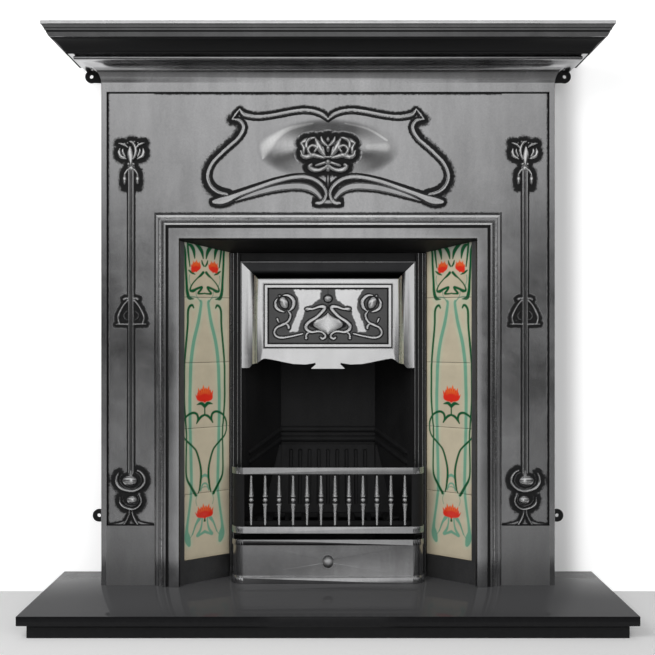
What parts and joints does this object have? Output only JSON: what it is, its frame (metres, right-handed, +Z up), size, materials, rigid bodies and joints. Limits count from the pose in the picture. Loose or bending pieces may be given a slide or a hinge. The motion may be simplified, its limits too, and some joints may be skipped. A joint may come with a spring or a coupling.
{
  "type": "tiled cast iron fireplace",
  "caption": "Cast iron fireplace with moulded mantelshelf, relief ornament, splayed tile panels, hooded grate with turned front bars, ash pan cover and stone hearth.",
  "frame": {"origin": "on the floor under the hearth, on the centre line, in the plane of the wall that the casting is fixed to", "axes": "+X to the right as seen from the room, +Y into the chimney, +Z up"},
  "size_m": [1.29, 0.495, 1.324],
  "materials": {
    "polished_iron": "polished, with dark patina in the hollows",
    "bright_iron": "highly polished",
    "dark_iron": "dark, half polished",
    "black_iron": "matt black lead",
    "pan_steel": "black sheet steel",
    "granite": "polished black granite",
    "glazed_tile": "glossy glaze, hand painted"
  },
  "bodies": {
    "fireplace": {"hearth_slab": "granite", "hearth_riser_front": "granite", "hearth_riser_back": "granite", "hearth_riser_left": "granite", "hearth_riser_right": "granite", "hearth_bearer": "granite", "front_casting": "polished_iron", "mantel_shelf": "polished_iron", "shelf_bolts": "dark_iron", "lug_top_left": "black_iron", "lug_top_right": "black_iron", "lug_bottom_left": "black_iron", "lug_bottom_right": "black_iron", "lug_bolts": "dark_iron", "tile_tray_left": "dark_iron", "tile_tray_right": "dark_iron", "tile_left_1": "glazed_tile", "tile_left_2": "glazed_tile", "tile_left_3": "glazed_tile", "tile_left_4": "glazed_tile", "tile_left_5": "glazed_tile", "tile_right_1": "glazed_tile", "tile_right_2": "glazed_tile", "tile_right_3": "glazed_tile", "tile_right_4": "glazed_tile", "tile_right_5": "glazed_tile", "header_plate": "black_iron", "arch_plate": "dark_iron", "arch_screws": "dark_iron", "canopy": "bright_iron", "fireback": "black_iron", "cheek_left": "black_iron", "cheek_right": "black_iron", "fluted_back_plate": "black_iron", "throat_plate": "black_iron"},
    "damper": {"damper_flap": "black_iron", "damper_spindle": "dark_iron", "damper_ring": "dark_iron"},
    "bottom_grate": {"bottom_grate": "dark_iron"},
    "front_bars": {"front_bars": "polished_iron"},
    "ash_cover": {"ash_pan_cover": "polished_iron", "cover_knob": "bright_iron"},
    "ash_pan": {"ash_pan": "pan_steel", "ash_pan_handle": "pan_steel"}
  },
  "joints": [
    {"name": "damper_hinge", "type": "hinge", "parent": "fireplace", "child": "damper", "pos_m": [0, 0.148, 0.818], "axis": [-1, 0, 0], "range_deg": [0, 70]},
    {"name": "grate_lift", "type": "slide", "parent": "fireplace", "child": "bottom_grate", "axis": [0, 0, 1], "range_m": [0, 0.12]},
    {"name": "front_bars_lift", "type": "slide", "parent": "fireplace", "child": "front_bars", "axis": [0, 0, 1], "range_m": [0, 0.05]},
    {"name": "ash_cover_draw", "type": "slide", "parent": "fireplace", "child": "ash_cover", "axis": [0, -1, 0], "range_m": [0, 0.2]},
    {"name": "ash_pan_draw", "type": "slide", "parent": "fireplace", "child": "ash_pan", "axis": [0, -1, 0], "range_m": [0, 0.2]}
  ],
  "couplings": [
    {"joint": "ash_cover_draw", "follows": "ash_pan_draw", "ratio": 1}
  ]
}
